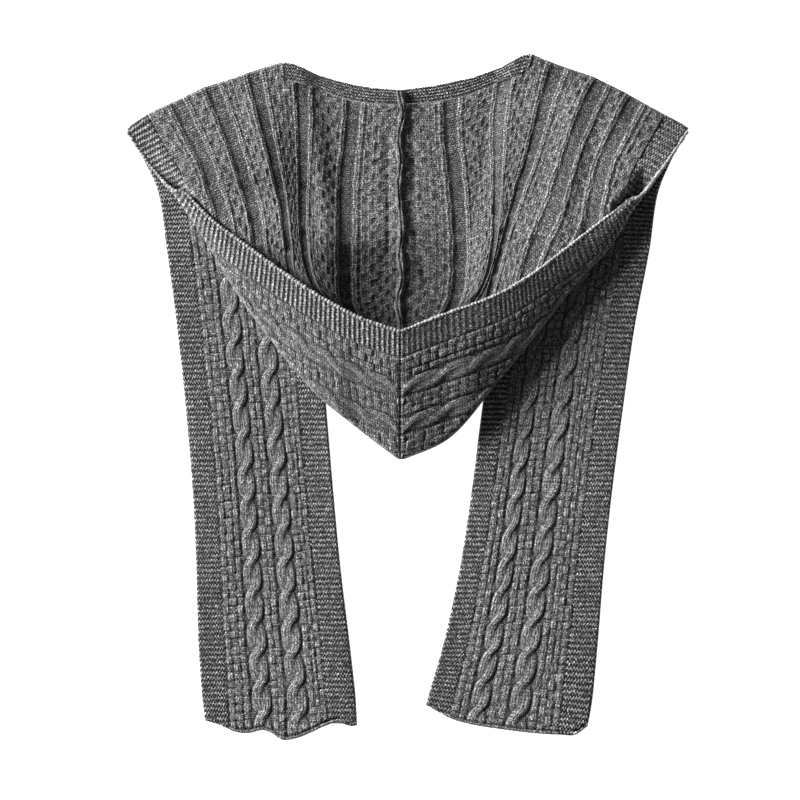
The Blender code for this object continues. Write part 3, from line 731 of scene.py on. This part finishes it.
def make_hood(cloth_map, material):
    """A hood half: its wrong side shows on the back, and its right side on the front."""
    across = np.linspace(RIM_BAND + GAP / 2, PANEL, round((PANEL - RIM_BAND) / PANEL_CELL) + 1)
    a, steps = np.meshgrid(across, np.linspace(0.0, 1.0, round(HEIGHT / PANEL_CELL) + 1))
    start = neck_line(a)
    v = start + (HEIGHT - start) * steps
    drift_a = 0.9 * uneven(a, v, 24.0, 21) + 0.55 * uneven(a, v, 6.0, 23)
    cloth = a + drift_a, v + 1.5 * uneven(a, v, 32.0, 22)
    height, knit, sway = hood_relief(*cloth)
    back, back_knit = hood_back_relief(*cloth)
    x, y, _ = np.moveaxis(cloth_map.place(a, v), -1, 0)
    facing = cloth_map.normal(a, v)[..., 2]
    # The relief flattens where the cloth is pulled round the fold.
    looks_up = smooth((facing - 0.25) * 2)
    sunk = crease_depth(x, y) * smooth(-facing * 3)
    beside_band = edge_drop(v - start, 3.0, 1.2)
    shoulder = np.where(a < CORNER + 2, edge_drop(v, 4.0, 2.4), beside_band)
    seam_edge = edge_drop(PANEL - a, 4.0, 1.0)
    outer_rise = height * looks_up - edge_drop(HEIGHT - v, 5.0, 1.9)
    inner_rise = back - sunk - edge_drop(HEIGHT - v, 4.0, 0.6) - shoulder - seam_edge
    thin = LEAST_WALL - HOOD_WALL
    outer_rise = np.maximum(outer_rise, thin / 2 - 0.6)
    inner_rise = np.maximum(inner_rise, thin - np.minimum(outer_rise, 0.0))
    # Painted shade: the hollows of both faces' relief are darkened, and the wrong side also down in
    # the pouch, most left of the seam, where the front wall shades it.
    painted_pouch_shade = smooth((205.0 - y) / 95.0) * smooth((x + 165.0) / 70.0) * smooth((75.0 - x) / 110.0)
    stitches_and_shades = (
        pack_stitches_and_shade(knit, 0.0, painted_hollow_shade(height, 2) * looks_up),
        pack_stitches_and_shade(back_knit, 0.0, painted_hollow_shade(back, 2) + POUCH_PAINTED_SHADE * painted_pouch_shade, 1.0),
    )
    name = f"hood_{cloth_map.side}_knit"
    rises = outer_rise, inner_rise
    return make_wall(name, cloth_map, (a, v), cloth, rises, stitches_and_shades, material, sway)


def rounded_corner(a, v, radius):
    """Places moved in so that the corner at (0, 0) follows a quarter circle."""
    beside = np.clip(radius - a, 0.0, None)
    below = np.clip(radius - v, 0.0, None)
    share = np.maximum(beside, below) / np.maximum(np.hypot(beside, below), 1e-9)
    share = np.where((beside > 0) & (below > 0), share, 1.0)
    return a + beside * (1 - share), v + below * (1 - share)


def make_rim_band(cloth_map, material):
    """The garter band along the face edge, its ridges across the band."""
    counts = [round(size / cell) + 1 for size, cell in zip((RIM_BAND, HEIGHT), RIM_CELLS)]
    across = np.linspace(0.0, RIM_BAND - GAP / 2, counts[0])
    a, v = np.meshgrid(across, np.linspace(0.0, HEIGHT, counts[1]))
    along = v + 0.5 * uneven(a, v, 14.0, 31)
    ridge = 0.8 * garter(along, RIB_PITCH)
    edges = (a, 2.2, 1.4), (RIM_BAND - a, 2.0, 0.9), (HEIGHT - v, 4.0, 1.3), (v, 3.0, 1.3)
    drop = np.max([edge_drop(*edge) for edge in edges], axis=0)
    facing = 3 * cloth_map.normal(a, v)[..., 2]
    rises = [ridge * smooth(seen) - drop for seen in (facing, -facing)]
    # Painted shade in the hollows between the ridges.
    stitches_and_shades = [pack_stitches_and_shade(0.0, 1.0, painted_hollow_shade(ridge, 2))] * 2
    at = rounded_corner(a, v, RIM_CORNER)
    name = f"rim_band_{cloth_map.side}_knit"
    return make_wall(name, cloth_map, at, (a, along), rises, stitches_and_shades, material)


def make_neck_band(cloth_map, material):
    """The garter border on the neck edge."""
    start = CORNER + 0.4
    across = np.linspace(start, PANEL, round((PANEL - start) / BAND_CELL) + 1)
    a, share = np.meshgrid(across, np.linspace(0.0, 1.0, round(NECK_BAND / 0.6) + 1))
    # The band runs out to a point where the panel's own edge takes over.
    v = share * np.maximum(neck_line(a) - GAP, 0.3)
    shifted = v - 0.5 * NECK_PITCH
    ridge = garter(shifted, NECK_PITCH)
    ends = edge_drop(v, 2.5, 1.6) + edge_drop(NECK_BAND - v, 1.5, 0.5)
    rises = -edge_drop(v, 2.0, 1.0), ridge - ends
    # Painted shade in the hollows between the ridges.
    stitches_and_shades = [pack_stitches_and_shade(0.0, 1.0, painted_hollow_shade(ridge, 2))] * 2
    name = f"neck_band_{cloth_map.side}_knit"
    return make_wall(name, cloth_map, (a, v), (a, shifted), rises, stitches_and_shades, material)


def make_seam_sewing(cloth_map, material):
    """The sewing that closes the centre seam: small stitches sunk between the two halves."""
    across = np.arange(1.5, PANEL - 1.0, 0.9)
    up = np.full_like(across, HEIGHT)
    sunk = 0.95 + 0.15 * np.cos(2 * math.pi * across / 3.4)
    middle = cloth_map.place(across, up) - cloth_map.normal(across, up) * sunk[:, None]
    middle[:, 0] = SEAM_X
    beside = np.array([1.0, 0.0, 0.0])
    along = np.gradient(middle, axis=0) * (1 - beside)
    lifted = np.cross(unit(along), beside)
    angle = np.arange(8) / 8 * 2 * math.pi
    wide, tall = SEWING
    ring = np.cos(angle)[:, None] * wide * beside
    ring = ring + np.sin(angle)[:, None] * tall * lifted[:, None]
    points = (middle[:, None] + ring).reshape(-1, 3)
    faces = tube_faces(len(across), len(angle), True)
    cloth = np.dstack(np.meshgrid(angle, across)).reshape(-1, 2)
    # Painted shade: the sunk sewing is darkened all over.
    stitches_and_shade = pack_stitches_and_shade(1.0, 0.0, np.full(len(points), 0.75))
    return shell("seam_sewing", points, faces, False, cloth, stitches_and_shade, material)


def make_welt(material):
    """The sewn edges of the centre seam: a puckered rope that leans from side to side."""
    start = HOOD_SECTIONS["left"][0][-1] - 1.0
    end = HOOD_SECTIONS["left"][-1][-1] + 14.0
    y = np.linspace(start, end, round((start - end) / 1.2) + 1)
    yy, tt = np.meshgrid(y, np.linspace(0, math.pi, 19), indexing="ij")
    sway = 1.3 * np.sin(yy / 9.0) + np.sin(yy / 23.0 + 1.0)
    pucker = 1 + 0.16 * np.sin(yy / 4.4 + 1.2 * np.sin(yy / 17.0)) + 0.1 * np.sin(yy / 2.1)
    split = 1 - 0.34 * bell((tt - math.pi / 2 - 0.25 * np.sin(yy / 7.0)) / 0.24)
    base = rest_height(SEAM_X, y) + HOOD_WALL + GAP + seam_ridge(y)
    base = base + 1.1 * (y > start - NECK_BAND - 6)
    x = SEAM_X + sway + pucker * WELT_HALF * np.cos(tt)
    z = base[:, None] + 0.2 + pucker * split * WELT_TALL * np.sin(tt)
    points = np.dstack([x, yy, z]).reshape(-1, 3)
    cloth = np.dstack([tt * 5.0, yy]).reshape(-1, 2)
    # Painted shade: darker in the split and down the sides, lighter where it puckers out.
    painted_shade = (1 - split) * 2.0 + 0.6 * (1 - np.sin(tt)) - 0.8 * (pucker - 1)
    stitches_and_shade = pack_stitches_and_shade(1.0, 0.0, np.clip(painted_shade, -1, 1))
    faces = tube_faces(*yy.shape, False)
    return shell("seam_welt_rope", points, faces, False, cloth, stitches_and_shade, material)


# ---- node trees, written as sums ----


def feed(tree, node, inputs):
    """Sets or links a node's inputs."""
    for label, value in inputs.items():
        if isinstance(value, Value):
            tree.links.new(value.socket, node.inputs[label])
        else:
            node.inputs[label].default_value = value


def add_node(tree, kind, inputs=None, out=0, **settings):
    """A new node with its settings made and its inputs fed, as the value it gives. A shader
    node's kind comes without its prefix."""
    node = tree.nodes.new(kind if "Node" in kind else f"ShaderNode{kind}")
    for label, value in settings.items():
        setattr(node, label, value)
    feed(tree, node, inputs or {})
    return Value(tree, node.outputs[out]) if node.outputs else None


class Value:
    """An output of a node. Arithmetic with it adds the maths nodes to its tree."""

    def __init__(self, tree, socket):
        self.tree = tree
        self.socket = socket

    def __getitem__(self, label):
        """Another output of the same node."""
        return Value(self.tree, self.socket.node.outputs[label])

    def math(self, operation, *others, clamp=False):
        inputs = dict(enumerate((self, *others)))
        return add_node(self.tree, "Math", inputs, operation=operation, use_clamp=clamp)

    def __rsub__(self, other):
        return add_node(self.tree, "Math", {0: other, 1: self}, operation="SUBTRACT")

    __add__ = partialmethod(math, "ADD")
    __sub__ = partialmethod(math, "SUBTRACT")
    __mul__ = partialmethod(math, "MULTIPLY")
    __truediv__ = partialmethod(math, "DIVIDE")
    __pow__ = partialmethod(math, "POWER")
    __abs__ = partialmethod(math, "ABSOLUTE")
    floor = partialmethod(math, "FLOOR")
    fract = partialmethod(math, "FRACT")
    least = partialmethod(math, "MAXIMUM")

    def held(self):
        """Kept from 0 to 1."""
        return self.math("ADD", 0.0, clamp=True)

    def mix(self, other, share):
        return self * (1.0 - share) + other * share

    def wave(self):
        """From 1 to 0 and back, once for each whole step."""
        return (self * (2 * math.pi)).math("COSINE") * 0.5 + 0.5


def blend(tree, share, first, second):
    inputs = {"Factor": share, "A": first, "B": second}
    return add_node(tree, "Mix", inputs, out="Result", data_type="RGBA")


def new_group(kind, name, inputs, outputs):
    """A node group with its sockets, and the value of its first input. An input is given by its
    default, or by its kind where it has none."""
    tree = bpy.data.node_groups.new(name, kind)
    sockets = tree.interface.new_socket
    kinds = {float: "Float", int: "Int", tuple: "Color"}
    for label, value in inputs.items():
        bare = isinstance(value, str)
        kind = value if bare else kinds[type(value)]
        socket = sockets(label, in_out="INPUT", socket_type=f"NodeSocket{kind}")
        if not bare:
            socket.default_value = value
    for label, kind in outputs.items():
        sockets(label, in_out="OUTPUT", socket_type=f"NodeSocket{kind}")
    return tree, add_node(tree, "NodeGroupInput")


def new_material(name):
    material = bpy.data.materials.new(name)
    material.use_nodes = True
    return material, material.node_tree, material.node_tree.nodes["Principled BSDF"]


# ---- the chain of edge stitches along the rim, by Geometry Nodes ----


def edge_chain_tree():
    """Beads along a line: every edge stitch is one rounded bead, turned along the line."""
    inputs = {
        "Geometry": "Geometry",
        "Stitch pitch": 0.0037,
        "Stitch size": 0.0026,
        "Unevenness": 0.22,
        "Seed": 4,
        "Material": "Material",
    }
    tree, given = new_group("GeometryNodeTree", "edge_chain", inputs, {"Geometry": "Geometry"})
    line = add_node(tree, "GeometryNodeMeshToCurve", {"Mesh": given["Geometry"]})
    even = {"Curve": line, "Length": given["Stitch pitch"]}
    even = add_node(tree, "GeometryNodeResampleCurve", even, mode="LENGTH")
    bead = {"Segments": 8, "Rings": 5, "Radius": given["Stitch size"]}
    bead = add_node(tree, "GeometryNodeMeshUVSphere", bead)
    tangent = add_node(tree, "GeometryNodeInputTangent")
    turn = add_node(tree, "FunctionNodeAlignRotationToVector", {"Vector": tangent})
    spread = given["Unevenness"]
    sizes = {2: 1.0 - spread, 3: spread + 1.0, "Seed": given["Seed"]}
    size = add_node(tree, "FunctionNodeRandomValue", sizes, out=1, data_type="FLOAT")
    thin = size * 0.8
    shape = add_node(tree, "CombineXYZ", {"X": thin, "Y": thin, "Z": size})
    beads = {"Points": even, "Instance": bead, "Rotation": turn, "Scale": shape}
    made = add_node(tree, "GeometryNodeInstanceOnPoints", beads)
    made = add_node(tree, "GeometryNodeRealizeInstances", {0: made})
    made = add_node(tree, "GeometryNodeSetShadeSmooth", {0: made})
    made = {"Geometry": made, "Material": given["Material"]}
    add_node(tree, "NodeGroupOutput", {0: add_node(tree, "GeometryNodeSetMaterial", made)})
    return tree


def make_edge_chain(cloth_map, tree, material, seed):
    """The light chain of edge stitches along the rim."""
    up = np.arange(6.0, HEIGHT - 1.5, 1.5)
    edge = np.zeros_like(up)
    places = cloth_map.place(edge, up)
    outward = places - cloth_map.place(edge + 2.0, up)
    outward /= np.linalg.norm(outward, axis=1, keepdims=True)
    normals = cloth_map.normal(edge, up)
    facing = np.where(normals[:, 2] > 0, 1.0, -1.0)
    facing = np.convolve(np.pad(facing, 8, "edge"), np.ones(17) / 17, "valid")
    line = places + outward * CHAIN_OUT + normals * facing[:, None]
    name = f"rim_line_{cloth_map.side}"
    mesh = bpy.data.meshes.new(name)
    mesh.from_pydata((line * MM).tolist(), [(i, i + 1) for i in range(len(line) - 1)], [])
    guide = put_in(name, mesh)
    nodes = guide.modifiers.new("edge_chain", "NODES")
    nodes.node_group = tree
    for item in tree.interface.items_tree:
        if item.in_out == "INPUT" and item.name in ("Material", "Seed"):
            nodes[item.identifier] = material if item.name == "Material" else seed
    bpy.context.view_layer.update()
    evaluated = guide.evaluated_get(bpy.context.evaluated_depsgraph_get())
    made = bpy.data.meshes.new_from_object(evaluated)
    made.name = f"rim_chain_{cloth_map.side}"
    bpy.data.objects.remove(guide, do_unlink=True)
    return put_in(made.name, made)


# ---- the yarn, in cloth millimetres ----


def stitches_group():
    """Height of single stitches, and their shade painted into the colour: knit Vs, purl bumps and
    garter ridges.
    """
    inputs = {
        "Cloth": "Vector",
        "Wale": WALE,
        "Course": COURSE,
        "Ridge pitch": GARTER_PITCH,
        "Knit": 0.0,
        "Garter": 0.0,
        "Ridge light": GARTER_SHADE[0],
        "Ridge dark": GARTER_SHADE[1],
    }
    outputs = {"Height": "Float", "Shade": "Float"}
    tree, given = new_group("ShaderNodeTree", "single_stitches", inputs, outputs)
    # No stitch is quite like the next: the lines of the cloth wander a little.
    pulled = add_node(tree, "TexNoise", {"Vector": given, "Scale": 0.3, "Detail": 1.0})
    moved = {0: pulled["Color"], 1: (2.2, 2.2, 0.0), 2: given}
    moved = add_node(tree, "VectorMath", moved, operation="MULTIPLY_ADD")
    across = add_node(tree, "SeparateXYZ", {0: moved})
    up = across["Y"]
    wale = across / given["Wale"]
    course = up / given["Course"]
    # Knit: two slanting arms to a stitch, with a gap between the wales.
    beside = abs(wale.fract() - 0.5)
    arms = (course - beside * 1.3).wave()
    knit = (arms * 0.45 + 0.55) * (1.0 - (beside * 2.0) ** 4.0)
    # Purl: short bumps in rows, each row half a stitch on.
    row = course.floor()
    bump = 1.0 - abs((row * 0.5 + wale).fract() * 2.0 - 1.0)
    arch = (course.fract() + 0.5).wave()
    purl = bump.math("SQRT") * arch * 0.65 + 0.22
    # Garter: a ridge of interlocked bumps, zigzag along its length.
    ridge = (up / given["Ridge pitch"] + (beside - 0.25) * 0.85).wave()
    garter_ridge = ridge * ((wale * 2.0).wave() * 0.3 + 0.7)
    plain = purl.mix(knit, given["Knit"])
    # Every stitch takes its own piece of the marl, some darker than others.
    cell = add_node(tree, "CombineXYZ", {"X": (wale * 1.4).floor(), "Y": row})
    own = add_node(tree, "TexWhiteNoise", {"Vector": cell}, noise_dimensions="2D")
    # Painted shade and highlight: the colour follows each stitch's height, lighter on ridges and
    # raised loops, darker between them.
    garter_shade = (garter_ridge * given["Ridge light"] + given["Ridge dark"]).least(0.03)
    shade = (plain * 0.85 + 0.33).mix(garter_shade, given["Garter"]) * (own * 1.1 + 0.45)
    height = plain.mix(garter_ridge, given["Garter"])
    add_node(tree, "NodeGroupOutput", {"Height": height, "Shade": shade})
    return tree


def cable_backs_group():
    """The backs of the hood's cables as painted highlight and shade: two light lines of stitches on
    each side of a channel painted darker, whose purl rows arch, with a light arch painted where the
    cable crosses."""
    names = [f"{name} cable" for name in ("First", "Second", "Third", "Fourth", "Fifth")]
    inputs = {
        "Cloth": "Vector",
        **dict(zip(names, HOOD_CABLES)),
        "Inner line": LADDER_LINES[0],
        "Outer line": LADDER_LINES[1],
        "Crossing": CROSSING,
    }
    outputs = {"Light": "Float", "Dark": "Float"}
    tree, given = new_group("ShaderNodeTree", "cable_backs", inputs, outputs)
    across = add_node(tree, "SeparateXYZ", {0: given})
    up = across["Y"]
    beside = abs(across - given[names[0]])
    for name in names[1:]:
        beside = beside.math("MINIMUM", abs(across - given[name]))
    turn = (up - FIRST_CROSSING) / given["Crossing"]
    beside = turn.wave() ** 5.0 * 1.3 + beside

    def line(at, half):
        return (1.0 - abs(beside - at) / half).held()

    inner, outer = given["Inner line"], given["Outer line"]
    dashes = (up / COURSE).wave() * 0.45 + 0.55
    lines = line(inner, 1.0).least(line(outer, 1.0)) * dashes
    bowed = beside * beside * 0.075
    near = abs((turn + bowed / given["Crossing"] + 0.5).fract() - 0.5)
    arch = (1.0 - near / 0.035).held() * beside.math("LESS_THAN", 9.0) * 0.7
    # The basket stitch's wrong side: boxes drawn by thin lines of painted highlight.
    turned = add_node(tree, "CombineXYZ", {"X": up, "Y": across})
    boxes = {
        "Vector": turned, "Scale": 1.0, "Brick Width": BLOCK_TALL * 1.2,
        "Row Height": BASKET_COLUMN * 0.93, "Mortar Size": 0.55, "Mortar Smooth": 0.8,
    }
    boxes = add_node(tree, "TexBrick", boxes, out="Fac", offset_frequency=2)
    drawn = boxes * beside.math("GREATER_THAN", outer + 3.0) * 0.8
    # Painted shade in the gaps beside the light lines and down the channel.
    gaps = line((inner + outer) / 2.0, 0.9).least(line(inner - 1.7, 1.2))
    rows = ((up + bowed) / 2.5).wave()
    channel = beside.math("LESS_THAN", 7.2) * (rows * 0.75 + 0.05)
    light = lines.least(arch).least(drawn)
    add_node(tree, "NodeGroupOutput", {"Light": light, "Dark": gaps.least(channel)})
    return tree


def marl_group():
    """The flecks of dark and light fibre in the yarn."""
    inputs = {
        "Cloth": "Vector",
        "Fleck": 1.9,
        "Dark": DARK_FIBRE,
        "Light": LIGHT_FIBRE,
        "Balance": 0.45,
    }
    outputs = {"Color": "Color", "Fuzz": "Float"}
    tree, given = new_group("ShaderNodeTree", "marl_flecks", inputs, outputs)
    scaled = add_node(tree, "VectorMath", {0: given, 1: given["Fleck"]}, operation="DIVIDE")
    flecks = {"Vector": scaled, "Scale": 1.0, "Detail": 3.0, "Roughness": 0.75}
    flecks = add_node(tree, "TexNoise", flecks)
    fibres = add_node(tree, "TexNoise", {"Vector": scaled, "Scale": 3.1, "Detail": 2.0})
    share = ((fibres - 0.5) * 2.2 + ((flecks - 0.5) * 4.6 + given["Balance"])).held()
    color = blend(tree, share, given["Dark"], given["Light"])
    add_node(tree, "NodeGroupOutput", {"Color": color, "Fuzz": fibres})
    return tree


def yarn(name, stitches, marl, ridge_pitch, light=LIGHT_FIBRE, ridge=GARTER_SHADE, backs=None):
    """Marled wool-blend yarn: single stitches, flecks, painted shade in the hollows and a soft
    sheen.
    """
    material, tree, shader = new_material(name)
    cloth = add_node(tree, "UVMap", uv_map="Cloth")
    marks = add_node(tree, "Attribute", attribute_name="stitch")
    knit = add_node(tree, "SeparateColor", {0: marks})
    garter, painted_shade, wrong_side = knit["Green"], knit["Blue"], marks["Alpha"]
    single = {
        "Cloth": cloth, "Knit": knit, "Garter": garter,
        "Ridge pitch": ridge_pitch, "Ridge light": ridge[0], "Ridge dark": ridge[1],
    }
    single = add_node(tree, "Group", single, node_tree=stitches)
    flecks = add_node(tree, "Group", {"Cloth": cloth, "Light": light}, node_tree=marl)
    # Painted shade: hollows of the relief are darker, and a painted highlight makes crowns lighter.
    shade = (1.0 - painted_shade * (garter * -0.3 + 0.8)).least(0.2) * single["Shade"]
    raised = single["Height"]
    if backs:
        lines = add_node(tree, "Group", {"Cloth": cloth}, node_tree=backs)
        # Painted highlight on the lines of the cable backs, and painted shade in their gaps and
        # channels; the right side's colour is kept a little darker than the wrong side's.
        lit = lines["Light"] * wrong_side
        shade = shade * (lines["Dark"] * wrong_side * -0.6 + 1.0)
        shade = (lit * 0.5 + shade) * (wrong_side * 0.12 + 0.88)
        raised = lit * 0.6 + raised
    color = {0: flecks["Color"], "Scale": shade}
    bump = {"Strength": 1.0, "Distance": 0.0011, "Height": flecks["Fuzz"] * 0.5 + raised}
    feed(tree, shader, {
        "Base Color": add_node(tree, "VectorMath", color, operation="SCALE"),
        "Normal": add_node(tree, "Bump", bump),
        "Roughness": flecks["Fuzz"] * 0.2 + 0.78,
        "Specular IOR Level": 0.2,
        "Sheen Weight": 0.15,
        "Sheen Roughness": 0.5,
    })
    return material


def chain_yarn():
    """The edge chain's yarn, painted lighter as a highlight, since it stands clear of any hollow.
    """
    material, tree, shader = new_material("edge_chain_yarn")
    place = add_node(tree, "TexCoord", out="Object")
    flecks = add_node(tree, "TexNoise", {"Vector": place, "Scale": 520.0, "Detail": 2.0})
    share = ((flecks - 0.5) * 2.4 + 0.5).held()
    feed(tree, shader, {
        "Base Color": blend(tree, share, (0.03, 0.03, 0.031, 1), (0.42, 0.42, 0.424, 1)),
        "Normal": add_node(tree, "Bump", {"Distance": 0.0004, "Height": flecks}),
        "Roughness": 0.85,
        "Specular IOR Level": 0.2,
        "Sheen Weight": 0.15,
    })
    return material


# ---- floor, camera and light ----


def make_floor():
    mesh = bpy.data.meshes.new("floor")
    half = 6.0
    corners = [(-half, -half, 0), (half, -half, 0), (half, half, 0), (-half, half, 0)]
    mesh.from_pydata(corners, [], [(0, 1, 2, 3)])
    floor = put_in("floor", mesh)
    material, tree, shader = new_material("pale_floor")
    # A pale sheet lit from below as well, so that it stays white round the object.
    feed(tree, shader, {
        "Base Color": (0.93, 0.93, 0.93, 1),
        "Emission Color": (1, 1, 1, 1),
        "Emission Strength": 1.0,
        "Roughness": 1.0,
        "Specular IOR Level": 0.0,
    })
    mesh.materials.append(material)


def make_camera():
    data = bpy.data.cameras.new("camera")
    data.sensor_width = 36.0
    data.lens = 36.0 * CAMERA_HIGH / FRAME_WIDE
    data.clip_end = 50.0
    camera = put_in("camera", data)
    camera.location = (*CAMERA_AT, CAMERA_HIGH)
    bpy.context.scene.camera = camera


def make_lights():
    world = bpy.data.worlds.new("studio")
    world.use_nodes = True
    background = world.node_tree.nodes["Background"]
    feed(world.node_tree, background, {"Color": (1, 1, 1, 1), "Strength": FILL_LIGHT})
    bpy.context.scene.world = world
    data = bpy.data.lights.new("key", "AREA")
    data.shape = "DISK"
    data.size = KEY_SIZE
    data.energy = KEY_POWER
    lamp = put_in("key", data)
    lamp.location = KEY_AT
    x, y, z = KEY_AT
    lamp.rotation_euler = (math.atan2(math.hypot(x, y), z), 0.0, math.atan2(x, -y))


def settle(piece, node=None):
    """Sets a piece on the one body, and hides the solid that it replaces."""
    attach(piece, "root")
    if node:
        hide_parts(node)


def main():
    stitches, marl, backs = stitches_group(), marl_group(), cable_backs_group()
    tail_yarn = yarn("tail_knit", stitches, marl, GARTER_PITCH)
    hood_yarn = yarn("hood_knit", stitches, marl, GARTER_PITCH, backs=backs)
    # The rim's ridges get a weaker painted highlight and shade.
    rim_yarn = yarn("rim_garter", stitches, marl, RIB_PITCH, ridge=(1.2, 0.2))
    neck_yarn = yarn("neck_garter", stitches, marl, NECK_PITCH)
    seam_yarn = yarn("seam_yarn", stitches, marl, GARTER_PITCH, light=(0.24, 0.24, 0.242, 1))
    chain = chain_yarn()
    tree = edge_chain_tree()

    cloth_maps = {side: HoodMap(side) for side in ("left", "right")}
    over = room_under(cloth_maps.values())
    for side, cloth_map in cloth_maps.items():
        tail = make_tail(side, over, tail_yarn)
        settle(tail, f"tail_{side}")
        hood = make_hood(cloth_map, hood_yarn)
        band = make_rim_band(cloth_map, rim_yarn)
        neck = make_neck_band(cloth_map, neck_yarn)
        edge = make_edge_chain(cloth_map, tree, chain, 4 if side == "left" else 9)
        settle(hood, f"hood_{side}")
        settle(band, f"rim_band_{side}")
        settle(neck, f"neck_band_{side}")
        settle(edge)
    welt = make_welt(seam_yarn)
    settle(welt, "seam_welt")
    sewing = make_seam_sewing(cloth_maps["left"], seam_yarn)
    settle(sewing)

    make_floor()
    make_camera()
    make_lights()
    bpy.context.scene.view_settings.view_transform = "Standard"


main()
